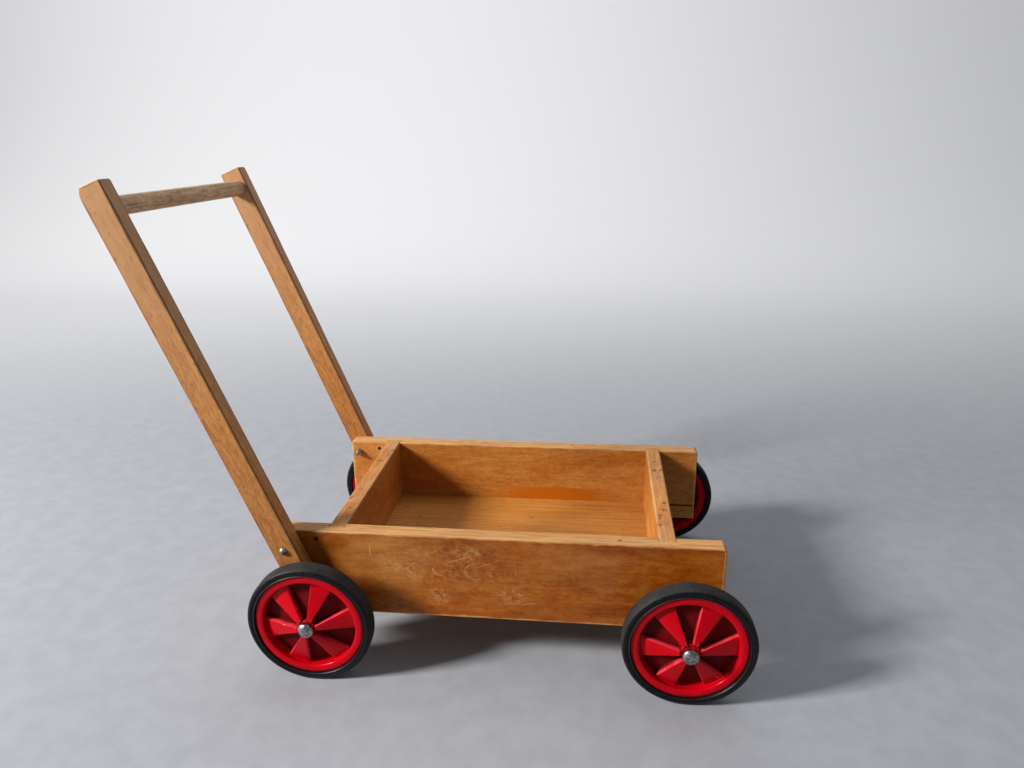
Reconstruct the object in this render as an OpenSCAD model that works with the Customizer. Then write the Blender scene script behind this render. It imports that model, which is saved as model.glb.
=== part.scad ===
// Wooden push-along doll wagon: a shallow open tray on four wheels, pushed by a
// raked handle.  Millimetres.  +X is the front, -Y the pusher's right, +Z up, and
// the tyres stand on Z = 0.  The handle posts are centred on the rear axle, and a
// bolt on each side locks them; a spare hole is the handle's upright setting.

/* [Tray] */
// Length of the side boards
side_len = 436; // [400:1:480]
// Height of the side boards and of the end boards
side_h = 91; // [80:1:110]
// Thickness of the side boards
side_t = 17; // [15:0.5:20]
// Width over the side boards
body_w = 248; // [220:1:300]
// Thickness of the two end boards
end_t = 16.4; // [12:0.2:18]
// How far the side boards run on behind the rear axle
rear_overhang = 36; // [34:1:45]
// Inner length of the tray, between the end boards
tray_len = 310; // [290:1:320]
// Gap from the rear axle's centre to the rear end board
rear_bay = 11; // [10:0.5:16]
// Height of the tray's floor above the lower edges of the boards
floor_rise = 19; // [17:0.5:24]
// Thickness of the floor panel
floor_t = 2.6; // [2:0.1:4]
// Depth of the housings that hold the end boards
housing_d = 8; // [6:0.5:9]
// Depth of the floor panel in its grooves
groove_d = 5.5; // [4:0.5:7]
// Rounding of the side boards' upper corners
board_corner_r = 4; // [1:0.5:10]

/* [Handle] */
// Width of a handle post, seen from the side
post_w = 25; // [22:1:30]
// Thickness of a handle post
post_t = 17; // [14:1:20]
// Length of a post above the rear axle's centre
post_len = 449; // [380:1:500]
// Rake of the posts from the vertical, in degrees
post_rake = 21.5; // [15:0.5:26]
// Rounding of the posts' upper corners
post_corner_r = 3; // [1:0.5:8]
// Diameter of the handle bar
bar_d = 18; // [16:1:20]
// Distance from the posts' upper ends to the bar's centre
bar_inset = 22; // [16:1:30]
// Depth of the bar in each post's blind hole
bar_socket = 11; // [8:1:12]
// Distance from the rear axle's centre to the lock bolts
lock_radius = 73.5; // [60:0.5:75]

/* [Wheels] */
// Diameter of the tyres
tyre_d = 125; // [115:1:130]
// Width of the tyres
tyre_w = 18.5; // [16:0.5:20]
// Distance between the axles
wheelbase = 365.4; // [360:0.2:375]
// Centre of the rear wheels' rim face, from the centre plane
rear_rim_y = 162.5; // [162.5:0.5:168]
// Centre of the front wheels' rim face, from the centre plane
front_rim_y = 164.1; // [163:0.1:168]
// Number of raised spokes
spokes = 6; // [5:1:8]
// Width of a spoke, in degrees
spoke_a = 27; // [20:1:32]
// Height of the axles above the lower edges of the boards
axle_rise = 8; // [8:0.5:10]

/* [Axles and fasteners] */
// Diameter of the axle rods
axle_d = 8; // [6:0.5:8]
// Diameter of the push-on axle caps
cap_d = 15.6; // [13:0.1:18]
// Gap between the front wheels' hubs and the axle caps
front_end_play = 3.4; // [0.4:0.2:4]
// Diameter of the lock bolts
bolt_d = 5; // [4:0.5:6]
// Diameter of the holes for the lock bolts
bolt_hole_d = 5.5; // [5.5:0.25:6.5]

/* [Hidden] */
$fn = 96;

LEFT = 1;
RIGHT = -1;
eps = 0.01;
// How far a cutter runs past the faces that it cuts
past = 1;

// Colours
honey_beech = [0.80, 0.52, 0.25];
pale_beech = [0.84, 0.60, 0.34];
worn_bar = [0.52, 0.40, 0.27];
wheel_red = [0.78, 0.02, 0.05];
tyre_black = [0.07, 0.07, 0.08];
steel = [0.70, 0.70, 0.70];

// Heights and sides of the tray
axle_z = tyre_d / 2;
board_z = axle_z - axle_rise;
board_top = board_z + side_h;
floor_z = board_z + floor_rise;
side_y = body_w / 2;
inner_y = side_y - side_t;
end_len = 2 * (inner_y + housing_d);
tray_front = rear_bay + end_t + tray_len;
groove_play = 0.1;

// Handle: the outer faces of the posts, and how far back their rounded corners reach
post_y = side_y + post_t;
post_back = -(post_len - post_corner_r) * sin(post_rake)
    - (post_w / 2 - post_corner_r) * cos(post_rake) - post_corner_r;

// Running parts: the bores run on the axle rods
running_gap = 0.05;
axle_r = axle_d / 2;
bore_r = axle_r + running_gap;
end_gap = 0.4;
washer_t = 1.2;
washer_r = 8;

// Wheel section, as radius and distance out from the rim face
tyre_r = tyre_d / 2;
tyre_proud = 1.7;
tyre_back = tyre_proud - tyre_w;
shoulder_r = 4;
lip_r = 54.3;
lip_t = 3;
bead_play = 0.2;
seat_r = 50;
barrel_r = 46.5;
barrel_t = tyre_w - 2 * tyre_proud;
dish_rim = -10.5;
dish_hub = -3;
web_t = 2.4;
spoke_outer = -5;
spoke_hub = 6.5;
spoke_wall = 2.2;
// Share of a spoke's width that is hollow behind it, and how far the web and the
// spokes reach into the boss and the barrel
hollow_share = 0.62;
root = 1;
boss_r = 9.5;
boss_out = 5;
boss_in = rear_rim_y - post_y - washer_t - end_gap;

// Axle caps
cap_skirt = 4;
cap_dome = 3.5;
cap_grip = 5.5;

// Lock bolts and nuts
bolt_head_r = 4.2;
bolt_head_h = 3.6;
nut_flats = 8;
nut_h = 4;
bolt_end = 4.5;

// The front tyres and the tops of the posts set where the middle of the wagon is
middle_x = (wheelbase + tyre_r + post_back) / 2;

// Everything is drawn with the rear axle over X = 0, then moved to the middle
module placed() translate([-middle_x, 0, 0]) children();

// Shapes for one side are drawn on the right and mirrored for the left
module on_side(side) mirror([0, side == LEFT ? 1 : 0, 0]) children();

// A rod across the wagon, from y = near to y = far
module cross_rod(r, near, far)
    translate([0, near, 0]) rotate([-90, 0, 0]) cylinder(r = r, h = far - near);

// Turns a wheel's own frame, with its outer face up, to the right-hand side
module facing_right(x, y) translate([x, -y, axle_z]) rotate([90, 0, 0]) children();

// A quarter-round cutter for a corner at the origin, for material at -x and -y
module corner_cut(r) {
    difference() {
        translate([-r, -r]) square(r + past);
        translate([-r, -r]) circle(r);
    }
}

// Places a point on a post: up is measured from the rear axle along the post
module on_post(up) translate([0, 0, axle_z]) rotate([0, -post_rake, 0]) translate([0, 0, up]) children();

// Outline of a side board in length and height, with rounded upper corners
module side_outline() {
    difference() {
        square([side_len, side_h]);
        translate([side_len, side_h]) corner_cut(board_corner_r);
        translate([0, side_h]) mirror([1, 0]) corner_cut(board_corner_r);
    }
}

// Side board: housed for the end boards, grooved for the floor, drilled for the axles and bolts
module side_board(side) {
    color(honey_beech) placed() on_side(side) difference() {
        translate([-rear_overhang, -inner_y, board_z]) rotate([90, 0, 0])
            linear_extrude(side_t) side_outline();
        for (x = [rear_bay, tray_front])
            translate([x, -inner_y - housing_d, board_z - past])
                cube([end_t, housing_d + past, side_h + 2 * past]);
        translate([-rear_overhang - past, -inner_y - groove_d - groove_play, floor_z - floor_t - groove_play])
            cube([side_len + 2 * past, groove_d + groove_play + past, floor_t + 2 * groove_play]);
        for (x = [0, wheelbase])
            translate([x, 0, axle_z]) cross_rod(bore_r, -side_y - past, -inner_y + past);
        on_post(lock_radius) cross_rod(bolt_hole_d / 2, -side_y - past, -inner_y + past);
        translate([0, 0, axle_z + lock_radius]) cross_rod(bolt_hole_d / 2, -side_y - past, -inner_y + past);
    }
}

// End board: fits the housings, with a groove for the floor on its inner face
module end_board(x, groove_x) {
    color(pale_beech) placed() difference() {
        translate([x, -end_len / 2, board_z]) cube([end_t, end_len, side_h]);
        translate([groove_x, -end_len / 2 - past, floor_z - floor_t - groove_play])
            cube([groove_d + groove_play + past, end_len + 2 * past, floor_t + 2 * groove_play]);
    }
}

module rear_board() end_board(rear_bay, rear_bay + end_t - groove_d - groove_play);

module front_board() end_board(tray_front, tray_front - past);

module floor_panel() {
    color(honey_beech) placed()
        translate([rear_bay + end_t - groove_d, -inner_y - groove_d, floor_z - floor_t])
            cube([tray_len + 2 * groove_d, 2 * (inner_y + groove_d), floor_t]);
}

// Handle post: rounded foot on the rear axle, blind socket for the bar near the top
module handle_post(side) {
    color(pale_beech) placed() on_side(side) difference() {
        on_post(0) translate([0, -side_y, 0]) rotate([90, 0, 0]) linear_extrude(post_t) {
            circle(post_w / 2);
            difference() {
                translate([-post_w / 2, 0]) square([post_w, post_len]);
                translate([post_w / 2, post_len]) corner_cut(post_corner_r);
                translate([-post_w / 2, post_len]) mirror([1, 0]) corner_cut(post_corner_r);
            }
        }
        on_post(0) cross_rod(bore_r, -post_y - past, -side_y + past);
        on_post(lock_radius) cross_rod(bolt_hole_d / 2, -post_y - past, -side_y + past);
        on_post(post_len - bar_inset) cross_rod(bar_d / 2, -side_y - bar_socket, -side_y + past);
    }
}

module handle_bar() {
    half = side_y + bar_socket;
    color(worn_bar) placed() on_post(post_len - bar_inset) cross_rod(bar_d / 2, -half, half);
}

// Bolt with a domed head on the post and its threaded end inside the tray board
module lock_bolt() {
    dome_r = (bolt_head_r * bolt_head_r + bolt_head_h * bolt_head_h) / (2 * bolt_head_h);
    cross_rod(bolt_d / 2, -post_y, -inner_y + nut_h + bolt_end);
    translate([0, -post_y, 0]) rotate([90, 0, 0]) rotate_extrude() intersection() {
        square([bolt_head_r, bolt_head_h]);
        translate([0, bolt_head_h - dome_r]) circle(dome_r);
    }
}

module lock_bolts() {
    color(steel) placed() for (side = [LEFT, RIGHT]) on_side(side) on_post(lock_radius) lock_bolt();
}

module lock_nuts() {
    color(steel) placed() for (side = [LEFT, RIGHT]) on_side(side) on_post(lock_radius)
        difference() {
            translate([0, -inner_y, 0]) rotate([-90, 0, 0])
                cylinder(d = nut_flats / cos(30), h = nut_h, $fn = 6);
            cross_rod(bolt_d / 2, -inner_y - past, -inner_y + nut_h + past);
        }
}

// Distance from the centre plane to the foot of an axle cap
function cap_y(rim_y, play) = rim_y + boss_out + play;
rear_cap_y = cap_y(rear_rim_y, end_gap);
front_cap_y = cap_y(front_rim_y, front_end_play);

module axle(x, foot_y) {
    half = foot_y + cap_grip;
    color(steel) placed() translate([x, 0, axle_z]) cross_rod(axle_r, -half, half);
}

module rear_axle() axle(0, rear_cap_y);

module front_axle() axle(wheelbase, front_cap_y);

// Push-on cap: a short skirt under a shallow dome, gripping the end of the axle
module axle_cap(x, foot_y, side) {
    cap_r = cap_d / 2;
    dome_r = (cap_r * cap_r + cap_dome * cap_dome) / (2 * cap_dome);
    color(steel) placed() on_side(side) facing_right(x, foot_y) difference() {
        rotate_extrude() {
            square([cap_r, cap_skirt + eps]);
            translate([0, cap_skirt]) intersection() {
                square([cap_r, cap_dome]);
                translate([0, cap_dome - dome_r]) circle(dome_r);
            }
        }
        translate([0, 0, -past]) cylinder(r = axle_r, h = cap_grip + past);
    }
}

// Four washers inside the hubs: the rear ones lie on the posts, the front ones on the spacers
front_washer_y = front_rim_y - boss_in - end_gap - washer_t;

module washer(x, y) {
    facing_right(x, y) difference() {
        cylinder(r = washer_r, h = washer_t);
        translate([0, 0, -past]) cylinder(r = bore_r, h = washer_t + 2 * past);
    }
}

module axle_washers() {
    color(steel) placed() for (side = [LEFT, RIGHT]) on_side(side) {
        washer(0, post_y);
        washer(wheelbase, front_washer_y);
    }
}

// Spacer sleeve: fills the place that the handle post takes on the rear axle
module front_spacer(side) {
    spacer_len = front_washer_y - side_y;
    color(tyre_black) placed() on_side(side) facing_right(wheelbase, side_y) difference() {
        cylinder(r = washer_r, h = spacer_len);
        translate([0, 0, -past]) cylinder(r = bore_r, h = spacer_len + 2 * past);
    }
}

// The hub's round parts in section: barrel, two lips, dished web and bored boss
module hub_section() {
    translate([barrel_r, -barrel_t]) square([seat_r - barrel_r, barrel_t]);
    for (w = [-lip_t, -barrel_t])
        translate([barrel_r, w]) square([lip_r - barrel_r, lip_t]);
    polygon([[boss_r - root, dish_hub], [barrel_r + root, dish_rim],
             [barrel_r + root, dish_rim - web_t], [boss_r - root, dish_hub - web_t]]);
    translate([bore_r, -boss_in]) square([boss_r - bore_r, boss_in + boss_out]);
}

// A spoke in section, lowered by drop for the hollow behind it
module spoke_section(drop) {
    hub_end = boss_r - root + drop;
    rim_end = barrel_r + root / 2 - drop;
    polygon([[hub_end, spoke_hub - drop], [rim_end, spoke_outer - drop],
             [rim_end, dish_rim - web_t - past], [hub_end, dish_hub - web_t - past]]);
}

// Repeats a wedge of the given angle at each spoke
module at_spokes(angle, phase) {
    for (i = [0 : spokes - 1])
        rotate([0, 0, phase + i * 360 / spokes - angle / 2]) rotate_extrude(angle = angle) children();
}

// Moulded wheel: raised wedge spokes on a dished web, hollow behind like any thin moulding
module wheel(x, rim_y, side, phase) {
    color(wheel_red) placed() on_side(side) facing_right(x, rim_y) difference() {
        union() {
            rotate_extrude() hub_section();
            intersection() {
                at_spokes(spoke_a, phase) spoke_section(0);
                rotate_extrude() polygon([
                    [boss_r - root, spoke_hub + past], [barrel_r + root, spoke_hub + past],
                    [barrel_r + root, dish_rim - web_t / 2], [boss_r - root, dish_hub - web_t / 2]]);
            }
        }
        at_spokes(spoke_a * hollow_share, phase) spoke_section(spoke_wall);
    }
}

// Tyre: a solid ring with rounded shoulders and a bead between the rim's lips
module tyre(x, rim_y, side) {
    bead_r = lip_r + bead_play;
    color(tyre_black) placed() on_side(side) facing_right(x, rim_y) rotate_extrude() {
        translate([bead_r, tyre_back]) square([tyre_r - shoulder_r - bead_r, tyre_w]);
        translate([bead_r, tyre_back + shoulder_r])
            square([tyre_r - bead_r, tyre_w - 2 * shoulder_r]);
        for (w = [tyre_back + shoulder_r, tyre_proud - shoulder_r])
            translate([tyre_r - shoulder_r, w]) circle(shoulder_r);
        translate([seat_r, lip_t - barrel_t]) square([bead_r - seat_r + eps, barrel_t - 2 * lip_t]);
    }
}

// Angle of the first spoke on each wheel, as the wheels have come to rest
rear_phase = 10.5;
front_phase = 4;
left_phase = 27;

side_board(LEFT);  // side_board_left
side_board(RIGHT);  // side_board_right
rear_board();
front_board();
floor_panel();
handle_post(LEFT);  // handle_post_left
handle_post(RIGHT);  // handle_post_right
handle_bar();
lock_bolts();
lock_nuts();
rear_axle();
front_axle();
axle_washers();
front_spacer(LEFT);  // front_spacer_left
front_spacer(RIGHT);  // front_spacer_right
axle_cap(0, rear_cap_y, LEFT);  // axle_cap_rear_left
axle_cap(0, rear_cap_y, RIGHT);  // axle_cap_rear_right
axle_cap(wheelbase, front_cap_y, LEFT);  // axle_cap_front_left
axle_cap(wheelbase, front_cap_y, RIGHT);  // axle_cap_front_right
wheel(0, rear_rim_y, LEFT, left_phase);  // wheel_rear_left
wheel(0, rear_rim_y, RIGHT, rear_phase);  // wheel_rear_right
wheel(wheelbase, front_rim_y, LEFT, left_phase);  // wheel_front_left
wheel(wheelbase, front_rim_y, RIGHT, front_phase);  // wheel_front_right
tyre(0, rear_rim_y, LEFT);  // tyre_rear_left
tyre(0, rear_rim_y, RIGHT);  // tyre_rear_right
tyre(wheelbase, front_rim_y, LEFT);  // tyre_front_left
tyre(wheelbase, front_rim_y, RIGHT);  // tyre_front_right
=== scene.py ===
# A wooden doll wagon with a raked handle and four red wheels, made in the order in which
# it is put together.  Metres, +X to the front, -Y the pusher's right, +Z up.
import math
import bmesh
import bpy
from mathutils import Matrix, Vector, noise


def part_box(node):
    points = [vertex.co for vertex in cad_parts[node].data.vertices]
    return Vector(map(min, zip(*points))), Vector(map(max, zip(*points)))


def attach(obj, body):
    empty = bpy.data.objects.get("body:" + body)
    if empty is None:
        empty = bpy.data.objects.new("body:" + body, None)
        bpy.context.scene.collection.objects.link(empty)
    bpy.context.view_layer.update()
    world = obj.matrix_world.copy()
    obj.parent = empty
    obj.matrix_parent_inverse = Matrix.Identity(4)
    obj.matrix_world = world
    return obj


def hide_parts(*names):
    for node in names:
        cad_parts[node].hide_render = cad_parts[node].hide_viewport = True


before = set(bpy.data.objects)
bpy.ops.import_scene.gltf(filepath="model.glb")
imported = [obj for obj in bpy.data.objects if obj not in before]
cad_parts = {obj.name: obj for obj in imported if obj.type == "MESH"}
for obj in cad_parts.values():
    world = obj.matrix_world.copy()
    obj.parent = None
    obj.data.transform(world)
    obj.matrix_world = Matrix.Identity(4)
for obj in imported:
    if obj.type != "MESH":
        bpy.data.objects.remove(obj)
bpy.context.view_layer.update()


# ---------------------------------------- side boards
# Two beech boards, planed, sawn to length with softened upper corners and varnished.
# Inside they are housed for the end boards and grooved for the floor; both axles and the
# handle's lock bolts go through them.

def arc(x, z, radius, start, end, steps=6):
    """Points of an arc round (x, z), from one angle to another in degrees."""
    angles = [math.radians(start + (end - start) * i / steps) for i in range(steps + 1)]
    return [(x + radius * math.cos(a), z + radius * math.sin(a)) for a in angles]


def handled(outline, wear, seed, spacing=0.005):
    """An outline as years of handling leave it: its straight edges dip in slightly here and there."""
    low = [min(p[i] for p in outline) for i in (0, 1)]
    high = [max(p[i] for p in outline) for i in (0, 1)]
    middle = Vector(((low[0] + high[0]) / 2, (low[1] + high[1]) / 2))
    worn = []
    for start, end in zip(outline, outline[1:] + outline[:1]):
        start, end = Vector(start), Vector(end)
        steps = max(1, round((end - start).length / spacing))
        inward = Vector((start.y - end.y, end.x - start.x)).normalized()
        if inward.dot(middle - start) < 0:
            inward = -inward
        for i in range(steps):
            point = start.lerp(end, i / steps)
            rough = sum(noise.noise((point.x * scale, point.y * scale, seed)) for scale in (40, 14))
            worn.append(point + inward * wear * max(0.0, rough) if i else point)
    return [tuple(p) for p in worn]


def softened(bm, mesh, crease=38, narrow=0.0012):
    """Writes the mesh: rounds shade smoothly, but never on to the wide flat faces beside them."""
    for face in bm.faces:
        face.smooth = True
    breadth = {f: f.calc_area() / max(e.calc_length() for e in f.edges) for f in bm.faces}
    for edge in bm.edges:
        if len(edge.link_faces) == 2:
            one, two = (breadth[f] for f in edge.link_faces)
            angle = math.degrees(edge.calc_face_angle(0))
            stepped = narrow and min(one, two) < narrow < max(one, two) and angle > 4
            edge.smooth = not (angle > crease or stepped)
    bm.to_mesh(mesh)
    bm.free()


def finished(name, bm, crease=38, narrow=0.0012):
    """Makes the object from its built mesh."""
    bmesh.ops.recalc_face_normals(bm, faces=bm.faces)
    mesh = bpy.data.meshes.new(name)
    softened(bm, mesh, crease, narrow)
    piece = bpy.data.objects.new(name, mesh)
    bpy.context.scene.collection.objects.link(piece)
    return piece


def wrapped(bm, rows, ring=False):
    """Joins each row of vertices to the next, closing to a point where a row is one vertex repeated."""
    for first, second in zip(rows, rows[1:] + rows[:1] if ring else rows[1:]):
        for i in range(len(first)):
            after = (i + 1) % len(first)
            corners = [first[i], first[after], second[after], second[i]]
            corners = [c for n, c in enumerate(corners) if c not in corners[:n]]
            if len(corners) > 2:
                bm.faces.new(corners)


def prism(outline, thickness):
    """A solid with its outline in X and Z and its thickness along Y, about Y = 0."""
    bm = bmesh.new()
    near = [bm.verts.new((x, -thickness / 2, z)) for x, z in outline]
    far = [bm.verts.new((x, thickness / 2, z)) for x, z in outline]
    bm.faces.new(near)
    bm.faces.new(reversed(far))
    wrapped(bm, [near, far])
    bmesh.ops.recalc_face_normals(bm, faces=bm.faces)
    return bm


def sawn(name, outline, thickness, ease):
    """A sawn piece of wood whose two faces meet its edges in a sanded round."""
    bm = prism(outline, thickness)
    rims = [e for e in bm.edges if abs(e.verts[0].co.y - e.verts[1].co.y) < 1e-6]
    bmesh.ops.bevel(bm, geom=rims, offset=ease, segments=3, profile=0.5, affect="EDGES")
    return finished(name, bm)


def drill(radius, start, end, steps=32):
    """A cutter along Y."""
    points = arc(start.x, start.z, radius, 0, 360 * (steps - 1) / steps, steps - 1)
    bm = prism(points, end.y - start.y)
    bmesh.ops.translate(bm, verts=bm.verts, vec=(0, (start.y + end.y) / 2, 0))
    return bm


def router(low, high):
    """A cutter for a housing or a groove, between two corners."""
    bm = prism([(low.x, low.z), (high.x, low.z), (high.x, high.z), (low.x, high.z)], high.y - low.y)
    bmesh.ops.translate(bm, verts=bm.verts, vec=(0, (low.y + high.y) / 2, 0))
    return bm


def cut(piece, cutters):
    """Takes the cutters out of a piece.  They are in the row frame, and so is the piece's place."""
    for cutter in cutters:
        tool = finished("cutter", cutter)
        step = piece.modifiers.new("cut", "BOOLEAN")
        step.object, step.solver = tool, "EXACT"
        bpy.context.view_layer.update()
        shaped = bpy.data.meshes.new_from_object(piece.evaluated_get(bpy.context.evaluated_depsgraph_get()))
        piece.modifiers.remove(step)
        piece.data = shaped
        bpy.data.objects.remove(tool)
    bm = bmesh.new()
    bm.from_mesh(piece.data)
    bmesh.ops.remove_doubles(bm, verts=bm.verts, dist=1e-6)
    softened(bm, piece.data)
    piece.data.name = piece.name


class Recipe:
    """A material being mixed: each call adds the nodes it needs and hands back an output."""

    def __init__(self, name, sockets):
        self.material = bpy.data.materials.new(name)
        self.material.use_nodes = True
        self.tree = self.material.node_tree
        self.shader = self.tree.nodes["Principled BSDF"]
        for socket, value in sockets.items():
            self.shader.inputs[socket].default_value = value
        self.at = self.add("TexCoord", {}, "Object")

    def add(self, kind, inputs, output=0, **settings):
        node = self.tree.nodes.new("ShaderNode" + kind)
        for key, value in settings.items():
            setattr(node, key, value)
        for key, value in inputs.items():
            if isinstance(value, bpy.types.NodeSocket):
                self.tree.links.new(value, node.inputs[key])
            else:
                node.inputs[key].default_value = value
        return node.outputs[output]

    def stretch(self, at, scale, shift=(0, 0, 0), turn=(0, 0, 0)):
        return self.add("Mapping", {"Vector": at, "Scale": scale, "Location": shift, "Rotation": turn})

    def noise(self, scale, detail=3.0, rough=0.55, bend=0.0, **placed):
        """A cloudy pattern.  Three scales stretch it along the axes; placed may shift or turn it."""
        at = self.at
        if isinstance(scale, tuple):
            at, scale = self.stretch(at, scale, **placed), 1.0
        settings = {"Vector": at, "Scale": scale, "Detail": detail, "Roughness": rough, "Distortion": bend}
        return self.add("TexNoise", settings)

    def math(self, operation, a, b=0.0):
        return self.add("Math", {0: a, 1: b}, operation=operation)

    def fold(self, operation, values):
        total = values[0]
        for value in values[1:]:
            total = self.math(operation, total, value)
        return total

    def plus(self, *values):
        return self.fold("ADD", values)

    def minus(self, a, b):
        return self.math("SUBTRACT", a, b)

    def times(self, *values):
        return self.fold("MULTIPLY", values)

    def either(self, *values):
        return self.fold("MAXIMUM", values)

    def radius(self, a, b):
        """How far a point is from an axis, from its two offsets."""
        return self.math("SQRT", self.plus(self.times(a, a), self.times(b, b)))

    def ramp(self, value, low, high, to_low=0.0, to_high=1.0):
        """Eases from one value to another as the input goes from low to high."""
        inputs = {"Value": value, "From Min": low, "From Max": high, "To Min": to_low, "To Max": to_high}
        return self.add("MapRange", inputs, interpolation_type="SMOOTHSTEP")

    def blend(self, share, a, b, **settings):
        return self.add("Mix", {0: share, 6: a, 7: b}, 2, data_type="RGBA", **settings)

    def tint(self, share, a, b):
        return self.blend(share, a, b, blend_type="MULTIPLY")

    def vector(self, operation, *values, output=0):
        return self.add("VectorMath", dict(enumerate(values)), output, operation=operation)

    def split(self, vector):
        node = self.tree.nodes.new("ShaderNodeSeparateXYZ")
        self.tree.links.new(vector, node.inputs[0])
        return node.outputs

    def spot(self, centre, size, slope=0.0):
        """1 at a point, fading to 0 at its size along each axis, and tilted by a slope in degrees."""
        away = self.vector("SUBTRACT", self.at, centre)
        if slope:
            away = self.stretch(away, (1, 1, 1), turn=(0, math.radians(slope), 0))
        far = self.vector("LENGTH", self.vector("DIVIDE", away, size), output="Value")
        return self.ramp(far, 1.0, 0.35)

    def stroke(self, centre, length, width, slope):
        """1 along a short stroke in the X and Z plane, sloping up by an angle in degrees."""
        return self.spot(centre, (length / 2, 0.01, width), slope)

    def done(self, colour, roughness, height, depth):
        self.tree.links.new(colour, self.shader.inputs["Base Color"])
        self.tree.links.new(roughness, self.shader.inputs["Roughness"])
        bump = self.add("Bump", {"Height": height, "Distance": depth, "Strength": 1.0}, "Normal")
        self.tree.links.new(bump, self.shader.inputs["Normal"])
        return self.material


def shade(red, green, blue):
    """A colour from the usual 0 to 255 scale."""
    parts = [c / 255 for c in (red, green, blue)]
    return tuple(c / 12.92 if c < 0.04045 else ((c + 0.055) / 1.055) ** 2.4 for c in parts) + (1.0,)


class Beech(Recipe):
    """Varnished beech with its grain along X: growth rings, fibres, rays and worn arrises."""
    ring_width = 0.0034

    def __init__(self, name, half, middle, pith, taper, deep, fair, bare, mottled=0.16, lean=0.0):
        super().__init__(name, {"Specular IOR Level": 0.24})
        self.at = self.stretch(self.at, (1, 1, 1), turn=(0, lean, 0))
        self.x, self.y, self.z = self.split(self.at)
        self.bare = bare
        # Rings are cones about the pith, which leans through the board and so draws arches
        sway = self.minus(self.noise((7, 22, 22)), 0.5)
        across = self.minus(self.y, pith[0])
        above = self.minus(self.z, pith[1])
        leaning = self.plus(self.times(self.x, taper), self.times(sway, 0.014))
        out = self.plus(self.radius(across, above), leaning)
        growth = self.math("FRACT", self.math("DIVIDE", out, self.ring_width))
        self.late = self.times(self.ramp(growth, 0.35, 0.86), self.ramp(growth, 1.0, 0.92))
        # Fibres, and the short dark rays that mark beech
        self.fibre = self.noise((26, 520, 520), detail=4, rough=0.62)
        self.rays = self.ramp(self.noise((330, 1900, 1900), detail=1), 0.60, 0.72)
        cloud = self.noise((6, 17, 17), bend=0.6)
        mottle = self.noise((70, 150, 150), detail=4, rough=0.7)
        colour = self.blend(self.ramp(cloud, 0.34, 0.66), deep, fair)
        colour = self.tint(self.ramp(mottle, 0.56, 0.40, 0.0, mottled), colour, shade(190, 142, 104))
        flecks = self.noise((170, 430, 430), rough=0.7)
        colour = self.tint(self.ramp(flecks, 0.54, 0.42, 0.0, 0.24), colour, shade(178, 128, 88))
        colour = self.tint(self.times(self.late, 0.10), colour, shade(176, 120, 84))
        colour = self.tint(self.ramp(self.fibre, 0.60, 0.34, 0.0, 0.30), colour, shade(200, 160, 124))
        self.colour = self.tint(self.times(self.rays, 0.42), colour, shade(128, 84, 56))
        # Arrises, where two faces are both near, lose their varnish first
        away = self.vector("ABSOLUTE", self.vector("SUBTRACT", self.at, middle))
        a, b, c = self.split(self.vector("SUBTRACT", half, away))
        near_two = self.either(self.math("MINIMUM", a, b), self.math("MINIMUM", self.either(a, b), c))
        patchy = self.noise(85, detail=4)
        self.arris = self.ramp(self.plus(near_two, self.times(patchy, -0.0042)), 0.0006, -0.0012)

    def varnished(self, gloss, worn):
        """Ends the recipe; worn is where the varnish has gone besides the arrises."""
        gone = self.either(self.arris, worn)
        bare = self.tint(self.ramp(self.fibre, 0.62, 0.34, 0.0, 0.5), self.bare, shade(160, 122, 90))
        colour = self.blend(self.times(gone, 0.75), self.colour, bare)
        shine = self.ramp(self.noise(60), 0.3, 0.7, gloss - 0.05, gloss + 0.09)
        pits = self.times(self.rays, -0.35)
        height = self.plus(self.times(self.fibre, 0.55), pits, self.times(self.late, -0.12))
        return self.done(colour, self.plus(shine, self.times(gone, 0.22)), height, 0.00016)


def between(node):
    """A CAD node's middle and its half sizes."""
    low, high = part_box(node)
    return (low + high) / 2, (high - low) / 2


rear_axle_at = between("rear_axle")[0]
front_axle_at = between("front_axle")[0]
axles = {"rear": rear_axle_at, "front": front_axle_at}
bolt_at = between("lock_bolts")[0]
lock_radius = math.hypot(bolt_at.x - rear_axle_at.x, bolt_at.z - rear_axle_at.z)
spare_at = rear_axle_at + Vector((0, 0, lock_radius))
board_ease = 0.0011
board_corner = 0.004
bore_radius = 0.0041
bolt_hole_radius = 0.00275
groove_play = 0.0001

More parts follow.
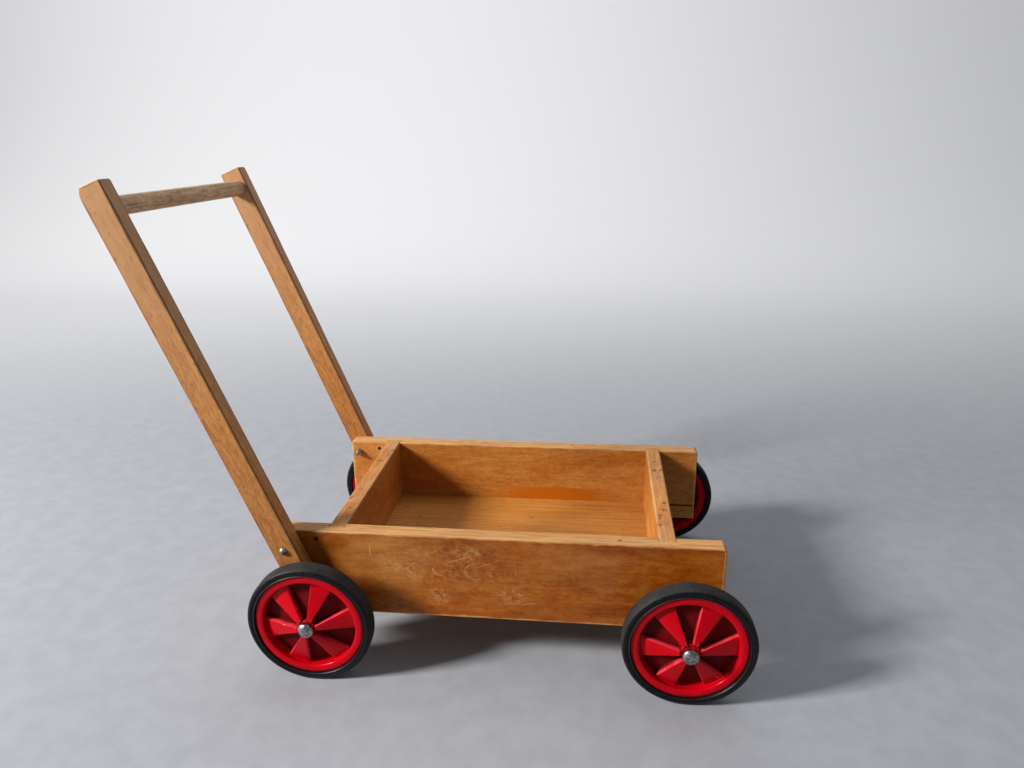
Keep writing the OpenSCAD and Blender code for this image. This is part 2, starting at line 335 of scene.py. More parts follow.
sides = (("right", -1), ("left", 1))
side_boards = {}
for side, out in sides:
    turned_round = 0 if side == "right" else math.pi
    centre, half = between("side_board_" + side)
    corner = (half.x - board_corner, half.z - board_corner)
    outline = [(-half.x, -half.z), (half.x, -half.z)]
    outline += arc(corner[0], corner[1], board_corner, 0, 90)
    outline += arc(-corner[0], corner[1], board_corner, 90, 180)
    board = sawn("side_board_" + side, handled(outline, 0.00035, turned_round), 2 * half.y, board_ease)
    board.matrix_world = Matrix.Translation(centre) @ Matrix.Rotation(turned_round, 4, "Z")
    board_sides = [centre + Vector((0, y * 0.02, 0)) for y in (-1, 1)]
    cutters = []
    for end_board in ("rear_board", "front_board"):
        low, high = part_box(end_board)
        low.z, high.z = low.z - 0.002, high.z + 0.002
        near, far = (low.y, 0) if out < 0 else (0, high.y)
        cutters.append(router(Vector((low.x, near, low.z)), Vector((high.x, far, high.z))))
    low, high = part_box("floor_panel")
    reach = (low.y if out < 0 else high.y) + out * groove_play
    ends = sorted((reach, 0))
    cutters.append(router(Vector((centre.x - half.x - 0.01, ends[0], low.z - groove_play)),
                          Vector((centre.x + half.x + 0.01, ends[1], high.z + groove_play))))
    for hole, radius in ((rear_axle_at, bore_radius), (front_axle_at, bore_radius),
                         (bolt_at, bolt_hole_radius), (spare_at, bolt_hole_radius)):
        start, end = (Vector((hole.x, y.y, hole.z)) for y in board_sides)
        cutters.append(drill(radius, start, end))
    cut(board, cutters)
    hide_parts("side_board_" + side)
    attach(board, "chassis")
    side_boards[side] = board

# The right board's outer face has taken the knocks: an orange varnish under a tan haze, with
# pale scuffs along the arches of its figure and scratches where things were pushed past it
centre, half = between("side_board_right")
beech = Beech("varnished_beech_right", half, (0, 0, 0), pith=(0.052, 0.006), taper=-0.105,
              deep=shade(150, 74, 10), fair=shade(176, 96, 20), bare=shade(216, 166, 106), mottled=0.34)
outer = beech.ramp(beech.y, -half.y + 0.0016, -half.y + 0.0006)
inner = beech.ramp(beech.y, half.y - 0.0012, half.y - 0.0004)
top = beech.ramp(beech.z, half.z - 0.0016, half.z - 0.0006)
beech.colour = beech.blend(beech.times(inner, 0.55), beech.colour, shade(190, 120, 50))
haze = beech.ramp(beech.noise((30, 52, 60), detail=7, rough=0.80, bend=0.4), 0.42, 0.66)
haze = beech.times(haze, outer, beech.ramp(beech.x, 0.26, 0.05, 0.55, 0.42))
beech.colour = beech.blend(haze, beech.colour, shade(178, 118, 50))
wiped = beech.either(beech.spot((-0.116, -half.y, 0.016), (0.062, 0.02, 0.042)),
                     beech.times(beech.spot((0.074, -half.y, 0.026), (0.066, 0.02, 0.020)), 0.6))
cloudy = beech.noise((40, 90, 90), detail=5, rough=0.7, shift=(5, 0, 2))
wiped = beech.times(wiped, beech.ramp(cloudy, 0.34, 0.62, 0.25, 1.0), outer, 0.62)
beech.colour = beech.blend(wiped, beech.colour, shade(196, 134, 68))
red_streak = beech.ramp(beech.noise((7, 60, 66), detail=4, shift=(3, 1, 7)), 0.50, 0.66)
red_streak = beech.times(red_streak, outer, beech.ramp(beech.x, 0.02, 0.13, 0.12, 1.0), 0.42)
beech.colour = beech.tint(red_streak, beech.colour, shade(186, 112, 78))
# The arches open to the front, one behind another, and only their tips are rubbed pale
arch_height, arch_bow, arch_gap = 0.008, -150.0, 0.0135
bowed = beech.minus(beech.z, arch_height)
bowed = beech.plus(beech.x, beech.times(bowed, bowed, arch_bow))
arches = beech.plus(bowed, beech.times(beech.noise(38), 0.016))
arches = beech.ramp(beech.math("PINGPONG", arches, arch_gap), 0.0013, 0.0003)
tips = beech.spot((-0.055, -half.y, 0.008), (0.105, 0.02, 0.026))
arches = beech.times(arches, tips, beech.ramp(beech.noise(75, detail=4, rough=0.7), 0.42, 0.56))
patches = [beech.spot((x, -half.y, z), (long, 0.02, high)) for x, z, long, high in (
    (-0.103, 0.010, 0.022, 0.010), (-0.030, 0.027, 0.024, 0.014),
    (0.014, -0.018, 0.026, 0.014), (-0.060, -0.022, 0.016, 0.014))]
patches.append(beech.times(beech.spot((-0.060, -half.y, 0.012), (0.110, 0.02, 0.036)), 0.45))
rubbed = beech.times(beech.either(*patches), beech.ramp(beech.noise(210, detail=5, rough=0.75), 0.44, 0.62))
strokes = [beech.stroke((x, -half.y, z), length, width, slope) for x, z, length, width, slope in (
    (-0.0375, 0.0205, 0.042, 0.0007, 20), (-0.0125, 0.0155, 0.026, 0.0005, 23),
    (-0.1272, 0.0265, 0.019, 0.0009, 88), (-0.060, 0.030, 0.020, 0.0005, 34),
    (-0.084, -0.004, 0.030, 0.0005, -28), (0.030, -0.026, 0.024, 0.0005, 12))]
strokes = beech.times(beech.either(*strokes), 0.85)
marks = beech.either(beech.times(arches, 0.8), beech.times(rubbed, 0.62), strokes)
top_wear = beech.times(top, beech.ramp(beech.noise(40, detail=5), 0.16, 0.40))
knot = beech.spot((0.118, -0.001, half.z), (0.0034, 0.0024, 0.004))
beech.bare = beech.blend(beech.times(knot, 0.85), beech.bare, shade(92, 48, 20))
worn = beech.either(beech.times(marks, outer), top_wear)
side_boards["right"].data.materials.append(beech.varnished(0.36, worn))

# The left board turns its cleaner inner face to the tray, with a deeper orange patch low down
beech = Beech("varnished_beech_left", half, (0, 0, 0), pith=(-0.048, 0.012), taper=0.085,
              deep=shade(186, 118, 48), fair=shade(206, 144, 70), bare=shade(218, 170, 114))
facing = beech.ramp(beech.y, half.y - 0.0012, half.y - 0.0004)
wavy = beech.plus(beech.z, beech.times(beech.noise((16, 1, 9)), 0.008))
low_orange_patch = beech.spot((-0.040, half.y, -0.027), (0.104, 0.02, 0.040))
low_orange_patch = beech.times(low_orange_patch, facing, beech.ramp(wavy, -0.0045, -0.0062), 0.94)
beech.colour = beech.blend(low_orange_patch, beech.colour, shade(180, 92, 2))
top = beech.ramp(beech.z, half.z - 0.0016, half.z - 0.0006)
top_wear = beech.times(top, beech.ramp(beech.noise(34, detail=5), 0.22, 0.46), 0.9)
halo = beech.spot((-(spare_at.x - centre.x), half.y, spare_at.z - centre.z), (0.0062, 0.012, 0.0062))
side_boards["left"].data.materials.append(beech.varnished(0.40, beech.either(top_wear, halo)))


# ---------------------------------------- end boards
# Two shorter beech boards between the side boards, pushed into the housings and glued.
# A groove on the tray side of each takes the edge of the floor, and their tops are sanded round.

def end_board(name, tray_side):
    """An end board is its section, with the groove in it, run across the wagon."""
    centre, half = between(name)
    floor_low, floor_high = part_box("floor_panel")
    groove = (floor_low.z - centre.z - groove_play, floor_high.z - centre.z + groove_play)
    floor_edge = floor_high.x if tray_side < 0 else floor_low.x
    depth = half.x - (floor_edge - centre.x) * tray_side
    foot, top_round, end_ease, face = 0.0006, 0.0016, 0.0003, half.x
    section = [(-face + foot, -half.z), (face - foot, -half.z), (face, -half.z + foot)]
    section += [(face, groove[0]), (face - depth - groove_play, groove[0]),
                (face - depth - groove_play, groove[1]), (face, groove[1])]
    section += arc(face - top_round, half.z - top_round, top_round, 0, 90)
    section += arc(-face + top_round, half.z - top_round, top_round, 90, 180) + [(-face, -half.z + foot)]
    board = sawn(name, section, 2 * half.y, end_ease)
    for vert in board.data.vertices:          # lays the length along X, as the grain runs
        x, y, z = vert.co
        vert.co = (y, -x, z)
    board.matrix_world = Matrix.Translation(centre) @ Matrix.Rotation(math.pi / 2 * tray_side, 4, "Z")
    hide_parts(name)
    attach(board, "chassis")
    return board, half


for name, tray_side in (("rear_board", 1), ("front_board", -1)):
    board, half = end_board(name, tray_side)
    along = Vector((half.y, half.x, half.z))
    front = name == "front_board"
    beech = Beech("varnished_beech_" + name, along, (0, 0, 0), pith=(0.03 * tray_side, -0.07), taper=0.05,
                  deep=shade(192, 122, 50) if front else shade(186, 114, 48),
                  fair=shade(218, 152, 76) if front else shade(208, 140, 70), bare=shade(206, 158, 108))
    top = beech.ramp(beech.z, half.z - 0.0022, half.z - 0.0008)
    top_wear = beech.times(top, beech.ramp(beech.noise(34, detail=4), 0.34, 0.58), 0.8)
    stains = beech.ramp(beech.noise((90, 150, 150), detail=5, shift=(2, 5, 1)), 0.58, 0.70)
    if front:
        for x, y, size in ((-0.048, -0.002, 0.0036), (0.034, 0.003, 0.0030), (0.062, -0.003, 0.0022)):
            stains = beech.either(stains, beech.spot((x, y, half.z), (size * 1.5, size, size * 2)))
    stained = beech.times(stains, top, 0.72)
    beech.colour = beech.tint(stained, beech.colour, shade(136, 78, 50))
    beech.bare = beech.tint(stained, beech.bare, shade(136, 78, 50))
    board.data.materials.append(beech.varnished(0.40, top_wear))


# ---------------------------------------- floor panel
# A thin plywood sheet slid into the grooves before the last board goes on.  Its face veneer
# runs lengthways in fine straight lines, and toys have bowed it down a little.

centre, half = between("floor_panel")
sag, cells_long, cells_wide = 0.0007, 28, 18
bm = bmesh.new()
grid = {}
for level in (-1, 1):
    for i in range(cells_long + 1):
        for j in range(cells_wide + 1):
            u, v = 2 * i / cells_long - 1, 2 * j / cells_wide - 1
            bow = sag * (1 - u * u) * (1 - v * v)
            grid[i, j, level] = bm.verts.new((u * half.x, v * half.y, level * half.z - bow))
cell, edge_cell = ((0, 0), (1, 0), (1, 1), (0, 1)), ((0, -1), (1, -1), (1, 1), (0, 1))
for level in (-1, 1):
    for i in range(cells_long):
        for j in range(cells_wide):
            bm.faces.new([grid[i + a, j + b, level] for a, b in cell])
for i in range(cells_long):
    for j in (0, cells_wide):
        bm.faces.new([grid[i + a, j, level] for a, level in edge_cell])
for j in range(cells_wide):
    for i in (0, cells_long):
        bm.faces.new([grid[i, j + a, level] for a, level in edge_cell])
panel = finished("floor_panel", bm, narrow=0)
panel.matrix_world = Matrix.Translation(centre)
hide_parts("floor_panel")
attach(panel, "chassis")

veneer = Recipe("floor_veneer", {"Coat Weight": 0.12, "Coat Roughness": 0.3, "Specular IOR Level": 0.35})
line_sway = veneer.minus(veneer.noise((3, 12, 12), detail=2), 0.5)
x, y = veneer.split(veneer.at)[:2]
y = veneer.plus(y, veneer.times(line_sway, 0.010))
straight = veneer.add("CombineXYZ", {0: veneer.times(x, 5.0), 1: veneer.times(y, 430.0)})
lines = veneer.add("TexNoise", {"Vector": straight, "Scale": 1.0, "Detail": 4.0, "Roughness": 0.6})
pores = veneer.ramp(veneer.noise((110, 1500, 1500), detail=1), 0.60, 0.70)
cloud = veneer.noise((5, 16, 16), detail=2)
colour = veneer.blend(veneer.ramp(cloud, 0.35, 0.65), shade(190, 124, 54), shade(204, 140, 66))
colour = veneer.tint(veneer.ramp(lines, 0.58, 0.40, 0.0, 0.36), colour, shade(178, 128, 86))
colour = veneer.tint(veneer.times(pores, 0.40), colour, shade(132, 86, 54))
specks = veneer.ramp(veneer.noise((90, 170, 170), detail=1, shift=(4, 9, 0)), 0.735, 0.765)
colour = veneer.blend(veneer.times(specks, 0.7), colour, shade(88, 50, 26))
roughness = veneer.ramp(veneer.noise(50), 0.3, 0.7, 0.40, 0.54)
height = veneer.plus(veneer.times(lines, 0.8), veneer.times(pores, -0.4))
panel.data.materials.append(veneer.done(colour, roughness, height, 0.00015))


# ---------------------------------------- handle posts
# Two straight beech posts with round feet, drilled for the axle and the lock bolt.  The bar's
# blind holes are near the top, on the inner faces.  Hands have rounded the right post's back corner.

rake = math.atan2(rear_axle_at.x - bolt_at.x, bolt_at.z - rear_axle_at.z)
post_width, post_length, post_corner, post_ease = 0.025, 0.449, 0.003, 0.0012
bar_radius, bar_inset, bar_socket = 0.009, 0.022, 0.011
post_turn = Matrix.Rotation(-(math.pi / 2 + rake), 4, "Y")


def on_post(up, y):
    """A point on the middle line of a post, so far up from the rear axle."""
    return Vector((rear_axle_at.x - up * math.sin(rake), y, rear_axle_at.z + up * math.cos(rake)))


def post_outline(back_wear):
    """The post lies along X with its back at +Z: a round foot, then the worn top."""
    half_width, top = post_width / 2, post_length
    outline = arc(0, 0, half_width, 90, 270, 14)
    outline += arc(top - post_corner, -half_width + post_corner, post_corner, -90, 0)
    if back_wear:
        outline += [(top, half_width - post_corner - back_wear),
                    (top - 0.002, half_width - 0.0022 - back_wear / 2),
                    (top - 0.006, half_width - back_wear * 0.62),
                    (top - 0.011, half_width - back_wear * 0.25), (top - 0.016, half_width)]
    else:
        outline += arc(top - post_corner, half_width - post_corner, post_corner, 0, 90)
    return outline


def chip(up, y, length):
    """A cutter that bites a splinter out of a post's front arris."""
    bm = bmesh.new()
    bmesh.ops.create_icosphere(bm, subdivisions=2, radius=1.0)
    arris = on_post(up, y) + Vector((math.cos(rake), 0, math.sin(rake))) * post_width / 2
    bite = Matrix.Diagonal((length / 2, 0.0013, 0.0010, 1))
    bmesh.ops.transform(bm, matrix=Matrix.Translation(arris) @ post_turn @ bite, verts=bm.verts)
    return bm


for side, out in sides:
    back_wear = 0.0012 if side == "right" else 0.0
    centre, half = between("handle_post_" + side)
    outline = handled(post_outline(back_wear), 0.0003, 4 + out)
    post = sawn("handle_post_" + side, outline, 2 * half.y, post_ease)
    post.data.transform(post_turn)
    post.matrix_world = Matrix.Translation((rear_axle_at.x, centre.y, rear_axle_at.z))
    through = (centre.y - 0.02, centre.y + 0.02)
    inner_face = centre.y - out * half.y
    socket = sorted((inner_face + out * bar_socket, inner_face - out * 0.004))
    cutters = []
    for up, radius, ends, steps in ((0, bore_radius, through, 32),
                                    (lock_radius, bolt_hole_radius, through, 32),
                                    (post_length - bar_inset, bar_radius, socket, 64)):
        cutters.append(drill(radius, on_post(up, ends[0]), on_post(up, ends[1]), steps))
    if side == "right":
        cutters += [chip(0.278, centre.y - half.y, 0.006), chip(0.369, centre.y - half.y, 0.009)]
    cut(post, cutters)
    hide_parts("handle_post_" + side)
    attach(post, "chassis")
    post_half = ((post_length + post_width / 2) / 2, half.y, post_width / 2)
    post_middle = ((post_length - post_width / 2) / 2, 0, 0)
    beech = Beech("post_beech_" + side, post_half, post_middle, pith=(0.03, 0.05), taper=0.02,
                  deep=shade(180, 122, 62), fair=shade(193, 136, 74), bare=shade(226, 188, 150),
                  mottled=0.26, lean=math.pi / 2 + rake)
    # Hands have greyed the upper part, grime lines the long arrises, and the end grain is bare
    grip = beech.ramp(beech.x, post_length * 0.40, post_length * 0.96)
    grey = beech.noise((26, 110, 110), detail=5, rough=0.7, shift=(7, 0, 3))
    held = beech.times(grip, beech.ramp(grey, 0.34, 0.60, 0.55, 1.0), 0.80)
    beech.colour = beech.blend(held, beech.colour, shade(186, 142, 102))
    dents = beech.ramp(beech.noise((90, 320, 320), detail=2, shift=(1, 5, 2)), 0.64, 0.72)
    beech.colour = beech.tint(beech.times(dents, 0.45), beech.colour, shade(150, 100, 66))
    end_grain = beech.ramp(beech.x, post_length - 0.0014, post_length - 0.0004)
    beech.bare = beech.blend(end_grain, shade(138, 88, 46), beech.bare)
    post.data.materials.append(beech.varnished(0.42, beech.times(end_grain, 0.9)))


# ---------------------------------------- handle bar
# A turned beech bar glued into both posts.  The varnish has gone where hands push, so the
# wood is bare, greyed and very slightly thinner in the middle.

def turned(name, profile, steps=64, ring=False):
    """Turns a profile of (radius, along) points about X; a radius of 0 closes an end."""
    bm = bmesh.new()
    rows = []
    for radius, along in profile:
        if radius == 0:
            rows.append([bm.verts.new((along, 0, 0))] * steps)
            continue
        angles = [2 * math.pi * i / steps for i in range(steps)]
        rows.append([bm.verts.new((along, radius * math.cos(a), radius * math.sin(a))) for a in angles])
    wrapped(bm, rows, ring)
    return finished(name, bm, narrow=0)


facing_out = {"right": Matrix.Rotation(-math.pi / 2, 4, "Z"), "left": Matrix.Rotation(math.pi / 2, 4, "Z")}


def outward(at, side, y=0.0):
    """The place of a turned piece whose own X points out from one side of the wagon."""
    return Matrix.Translation((at.x, y, at.z)) @ facing_out[side]


centre, half = between("handle_bar")
stations, waist, dent, bar_ease = 36, 0.00025, 0.0001, 0.0008
profile = [(0, half.y), (bar_radius - bar_ease, half.y)]
for i in range(stations + 1):
    t = 1 - 2 * i / stations
    held = bar_radius - waist * (1 - t * t) - dent * max(0.0, noise.noise((t * 9, 3, 1)))
    profile.append((held, (half.y - bar_ease) * t))
profile += [(bar_radius - bar_ease, -half.y), (0, -half.y)]
bar = turned("handle_bar", profile)
bar.matrix_world = Matrix.Translation(centre) @ facing_out["right"]
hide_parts("handle_bar")
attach(bar, "chassis")

wood = Recipe("bare_bar_wood", {"Specular IOR Level": 0.3})
fibre = wood.noise((22, 420, 420), detail=4, rough=0.62)
grime = wood.noise((70, 170, 170), detail=5, rough=0.7)
rays = wood.ramp(wood.noise((260, 1500, 1500), detail=1), 0.58, 0.70)
colour = wood.blend(wood.ramp(grime, 0.36, 0.62), shade(190, 148, 108), shade(222, 182, 140))
colour = wood.tint(wood.ramp(fibre, 0.58, 0.36, 0.0, 0.45), colour, shade(158, 126, 100))
colour = wood.tint(wood.times(rays, 0.4), colour, shade(120, 88, 64))
roughness = wood.ramp(grime, 0.3, 0.7, 0.48, 0.62)
height = wood.plus(wood.times(fibre, 0.7), wood.times(rays, -0.4))
bar.data.materials.append(wood.done(colour, roughness, height, 0.00018))


# ---------------------------------------- lock bolts and nuts
# A domed bolt goes through each post and board and is held by a plain nut inside, so the
# handle keeps its rake.  Zinc-plated steel that has gone dull, with a little grime in the thread.

def plated(name, tone, gloss):
    """Zinc or steel of a tone and a gloss, with fine rubbing marks and grey stains."""
    metal = Recipe(name, {"Metallic": 1.0})
    stains = metal.noise(420, detail=4, rough=0.6)
    rub = metal.noise((2600, 500, 2600), detail=2)
    colour = metal.blend(metal.ramp(stains, 0.40, 0.62), shade(*tone), shade(*[c * 0.62 for c in tone]))
    scratches = metal.ramp(metal.noise((900, 160, 1500), detail=1, turn=(0.4, 0.7, 0.2)), 0.62, 0.68)
    colour = metal.blend(metal.times(scratches, 0.5), colour, shade(240, 238, 236))
    roughness = metal.plus(metal.ramp(stains, 0.3, 0.7, gloss, gloss + 0.22), metal.times(rub, 0.06))
    height = metal.plus(metal.times(rub, 0.3), metal.times(scratches, -0.5))
    return metal.done(colour, roughness, height, 0.00004)


bolt_metal = plated("dull_zinc", (176, 172, 168), 0.30)
bolt_radius, head_radius, head_height, past_nut = 0.0025, 0.0042, 0.0036, 0.0045
thread_pitch, thread_depth, thread_reach = 0.0008, 0.00035, 0.004
nut_flats, nut_height, nut_chamfer, nut_steps = 0.008, 0.004, 0.0006, 48
dome = (head_radius ** 2 + head_height ** 2) / (2 * head_height)
dome_angle = math.degrees(math.asin(head_radius / dome))

for side, out in sides:
    centre, half = between("handle_post_" + side)
    board_centre, board_half = between("side_board_" + side)
    head_seat = abs(centre.y) + half.y
    inner_face = abs(board_centre.y) - board_half.y
    bolt_tip = inner_face - nut_height - past_nut
    crown = [(0, head_seat + head_height)]
    crown += [(r, head_seat + head_height - dome + h) for h, r in arc(0, 0, dome, 6, dome_angle, 7)]
    shank = [(head_radius - 0.0001, head_seat), (bolt_radius, head_seat)]
    threads = int((inner_face + thread_reach - bolt_tip) / thread_pitch)
    thread_top = bolt_tip + 0.0003 + threads * thread_pitch
    for i in range(threads):
        shank += [(bolt_radius, thread_top - i * thread_pitch),
                  (bolt_radius - thread_depth, thread_top - (i + 0.5) * thread_pitch)]
    profile = crown + shank + [(bolt_radius - thread_depth, bolt_tip), (0, bolt_tip)]
    bolt = turned("lock_bolt_" + side, profile, 40)
    bolt.matrix_world = outward(bolt_at, side)
    bolt.data.materials.append(bolt_metal)
    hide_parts("lock_bolts")
    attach(bolt, "chassis")

    # A nut is a hexagon whose corners are chamfered away on both faces
    bm = bmesh.new()
    corner = nut_flats / 2 / math.cos(math.pi / 6)
    turns = [2 * math.pi * i / nut_steps for i in range(nut_steps)]
    flats = [nut_flats / 2 / math.cos((a + math.pi / 6) % (math.pi / 3) - math.pi / 6) for a in turns]
    rings = [(along, [min(flat, corner * shrink) for flat in flats]) for along, shrink in (
        (0, 0.90), (nut_chamfer, 1.0), (nut_height - nut_chamfer, 1.0), (nut_height, 0.90))]
    rings += [(along, [bolt_radius] * nut_steps) for along in (nut_height, 0)]
    layers = [[bm.verts.new((along, r * math.cos(a), r * math.sin(a))) for a, r in zip(turns, reach)]
              for along, reach in rings]
    wrapped(bm, layers, ring=True)
    nut = finished("lock_nut_" + side, bm, narrow=0)
    nut.matrix_world = outward(bolt_at, side, out * (inner_face - nut_height))
    nut.data.materials.append(bolt_metal)
    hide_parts("lock_nuts")
    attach(nut, "chassis")


# ---------------------------------------- axle rods
# Two plain drawn steel rods, cut to length and chamfered.  The wheels run on them.

axle_radius, axle_chamfer = 0.004, 0.0006
rod_steel = plated("drawn_steel", (188, 186, 184), 0.26)
for name in ("rear_axle", "front_axle"):
    centre, half = between(name)
    profile = [(0, half.y), (axle_radius - axle_chamfer, half.y), (axle_radius, half.y - axle_chamfer)]
    profile += [(axle_radius, (half.y - axle_chamfer) * (1 - 2 * i / 12)) for i in range(1, 12)]
    profile += [(axle_radius, -half.y + axle_chamfer), (axle_radius - axle_chamfer, -half.y), (0, -half.y)]
    rod = turned(name, profile, 48)
    rod.matrix_world = Matrix.Translation(centre) @ facing_out["right"]
    rod.data.materials.append(rod_steel)
    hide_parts(name)
    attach(rod, name + "_rod")


# ---------------------------------------- spacers and washers
# Moulded black sleeves stand on the front rod where the posts stand on the rear one, and a
# punched steel washer lies inside each hub.

def sleeve(name, inner, outer, start, end, ease):
    """A ring between two stations on a rod, with eased rims."""
    profile = [(inner, start + ease), (inner + ease, start), (outer - ease, start), (outer, start + ease),
               (outer, end - ease), (outer - ease, end), (inner + ease, end), (inner, end - ease)]
    return turned(name, profile, 48, ring=True)


washer_radius, washer_thickness = 0.008, 0.0012
moulded = Recipe("sleeve_plastic", {"Specular IOR Level": 0.45})
mottle = moulded.noise(300, detail=4)
colour = moulded.blend(moulded.ramp(mottle, 0.4, 0.65), shade(30, 29, 30), shade(52, 50, 49))
roughness = moulded.ramp(mottle, 0.3, 0.7, 0.42, 0.58)
sleeve_plastic = moulded.done(colour, roughness, mottle, 0.00005)
for side, out in sides:
    low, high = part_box("front_spacer_" + side)
    stations = sorted((abs(low.y), abs(high.y)))
    spacer = sleeve("front_spacer_" + side, bore_radius, washer_radius, stations[0], stations[1], 0.0005)
    spacer.matrix_world = outward(front_axle_at, side)
    spacer.data.materials.append(sleeve_plastic)
    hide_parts("front_spacer_" + side)
    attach(spacer, "chassis")
    centre, half = between("handle_post_" + side)
    rear_seat = abs(centre.y) + half.y
    for axle, seat in (("rear", rear_seat), ("front", stations[1])):
        end = seat + washer_thickness
        washer = sleeve(f"washer_{axle}_{side}", bore_radius, washer_radius, seat, end, 0.00025)
        washer.matrix_world = outward(axles[axle], side)
        washer.data.materials.append(rod_steel)
        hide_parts("axle_washers")
        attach(washer, "chassis")


# ---------------------------------------- wheels
# Glossy red mouldings in one piece: a rolled rim, six raised wedge spokes that climb to the
# hub, closed recesses between them, and a bored boss.  The back is hollow behind the spokes.

lip_radius, seat_radius, barrel_radius = 0.0543, 0.050, 0.0465
lip_thickness, barrel_width, web = 0.003, 0.0151, 0.0024
dish_rim, dish_hub, spoke_rim, spoke_hub = -0.0105, -0.003, -0.005, 0.0065
boss_radius, boss_out, boss_in, rim_dip, rim_ease = 0.0095, 0.005, 0.0199, 0.0021, 0.0006
spoke_width, hollow_share, wheel_stations, tyre_proud = 27.0, 0.62, 14, 0.0017


def spoke_stations():
    """Angles over one sixth of a turn, each with how far it is on a spoke: 0 beside, 1 on top."""
    edge, flank = spoke_width / 2, 0.95
    steps = [(0, 1.0), (edge * 0.35, 1.0), (edge * 0.7, 1.0), (edge - flank, 1.0), (edge - 0.45, 0.975),
             (edge - 0.12, 0.90), (edge + 0.12, 0.62), (edge + 0.30, 0.22), (edge + 0.52, 0.04)]
    steps += [(edge + flank + (30 - edge - flank) * t, 0.0) for t in (0.0, 0.33, 0.66, 1.0)]
    return [(-a, m) for a, m in reversed(steps[1:-1])] + steps


def wheel_face(level):
    """Outer face from the bore to the rim, at that share of a spoke."""
    hub = dish_hub + (spoke_hub - dish_hub) * level
    rim = dish_rim + (spoke_rim - dish_rim) * level
    first, last = boss_radius + 0.0010, barrel_radius - 0.0010
    points = [(bore_radius, boss_out - 0.0004), (bore_radius + 0.0004, boss_out),
              (boss_radius - 0.0012, boss_out),
              (boss_radius - 0.0008, boss_out + (hub - boss_out) * 0.04 * (1 + 2 * level)),
              (boss_radius - 0.0003, boss_out + (hub - boss_out) * (0.20 + 0.6 * level)),
              (boss_radius, boss_out + (hub - boss_out) * (0.85 + 0.12 * level))]
    for i in range(wheel_stations + 1):
        t = i / wheel_stations
        points.append((first + (last - first) * t, hub + (rim - hub) * t))
    points += [(barrel_radius - 0.0004, rim + 0.0003), (barrel_radius, rim + 0.0010),
               (barrel_radius, (rim - 0.0012) / 2), (barrel_radius, -rim_dip)]
    middle, reach = (barrel_radius + lip_radius) / 2, (lip_radius - barrel_radius) / 2
    for i in range(11):
        a = math.radians(170 - 164 * i / 10)
        points.append((middle + reach * math.cos(a), -rim_dip + rim_dip * math.sin(a) ** 0.5))
    return points


def wheel_back(level):
    """Inner face from the rim back to the bore: hollow behind a spoke as deep as its wall allows."""
    hub = dish_hub - web + (spoke_hub - dish_hub - 0.0008) * level
    rim = dish_rim - web + (spoke_rim - dish_rim) * level * 0.9
    first, last = barrel_radius - 0.0016, boss_radius + 0.0016
    points = [(lip_radius, -lip_thickness), (seat_radius, -lip_thickness - 0.0003),
              (seat_radius, lip_thickness - barrel_width + 0.0003),
              (lip_radius, lip_thickness - barrel_width),
              (lip_radius, -barrel_width + rim_ease), (lip_radius - rim_ease, -barrel_width),
              (barrel_radius + rim_ease, -barrel_width), (barrel_radius, -barrel_width + rim_ease),
              (barrel_radius - 0.0002, rim - 0.0006)]
    for i in range(wheel_stations + 1):
        t = i / wheel_stations
        points.append((first + (last - first) * t, rim + (hub - rim) * t))
    points += [(boss_radius, hub - 0.0012), (boss_radius, -boss_in + rim_ease),
               (boss_radius - rim_ease, -boss_in), (bore_radius + 0.0004, -boss_in),
               (bore_radius, -boss_in + 0.0004)]
    return points


def moulded_wheel(name, phase):
    """A wheel about X, with its first spoke turned by an angle; its spokes' edges are marked to carry a
    painted highlight.
    """
    bm = bmesh.new()
    highlight_edge = bm.verts.layers.float.new("highlight_edge")
    columns = []
    for spoke in range(6):
        for angle, level in spoke_stations():
            beside = abs(angle) / (spoke_width * hollow_share / 2)
            behind = max(0.0, min(1.0, (1.0 - beside) * 12 + 0.5))
            turn = math.radians(phase + spoke * 60 + angle)
            ring = wheel_face(level) + wheel_back(behind)
            column = [bm.verts.new((w, r * math.cos(turn), r * math.sin(turn))) for r, w in ring]
            face_start = 6
            for vert in column[face_start:face_start + wheel_stations + 1]:
                vert[highlight_edge] = 1.0 if 0.5 < level < 1.0 else 0.0
            columns.append(column)
    wrapped(bm, columns, ring=True)
    return finished(name, bm, 32, narrow=0)


red = Recipe("red_moulding", {"Specular IOR Level": 0.13})
x, y, z = red.split(red.at)
away = red.radius(y, z)
flow = red.noise(45)
fine = red.noise(900)
colour = red.blend(red.ramp(flow, 0.35, 0.65), shade(182, 0, 16), shade(192, 0, 22))
# Painted shade: the recesses below the line of the spokes' faces are darkened to maroon, as if in shadow
face_line = red.ramp(away, boss_radius, barrel_radius, spoke_hub, spoke_rim)
face_line.node.interpolation_type = "LINEAR"
shaded_recess = red.ramp(red.minus(face_line, x), 0.0006, 0.0042)
shaded_recess = red.times(shaded_recess, red.ramp(away, barrel_radius - 0.0002, barrel_radius - 0.0012))
colour = red.blend(red.times(shaded_recess, 0.90), colour, shade(80, 0, 2))
# Painted highlight: a pale pink line along the spokes' raised edges, broken up by noise
edge_highlight = red.add("Attribute", {}, "Fac", attribute_name="highlight_edge")
edge_highlight = red.times(edge_highlight, red.ramp(red.noise(110), 0.30, 0.60, 0.25, 0.75))
colour = red.blend(edge_highlight, colour, shade(236, 70, 84))
rim_rub = red.ramp(red.noise(160, detail=4), 0.50, 0.62)
rim_rub = red.times(red.ramp(away, lip_radius - 0.0012, lip_radius), rim_rub, 0.35)
colour = red.blend(rim_rub, colour, shade(196, 120, 122))
hub_rub = red.ramp(red.noise(700), 0.55, 0.68)
hub_rub = red.times(red.ramp(away, 0.014, 0.008), red.ramp(x, 0.0035, 0.006), hub_rub, 0.6)
colour = red.blend(hub_rub, colour, shade(226, 96, 100))
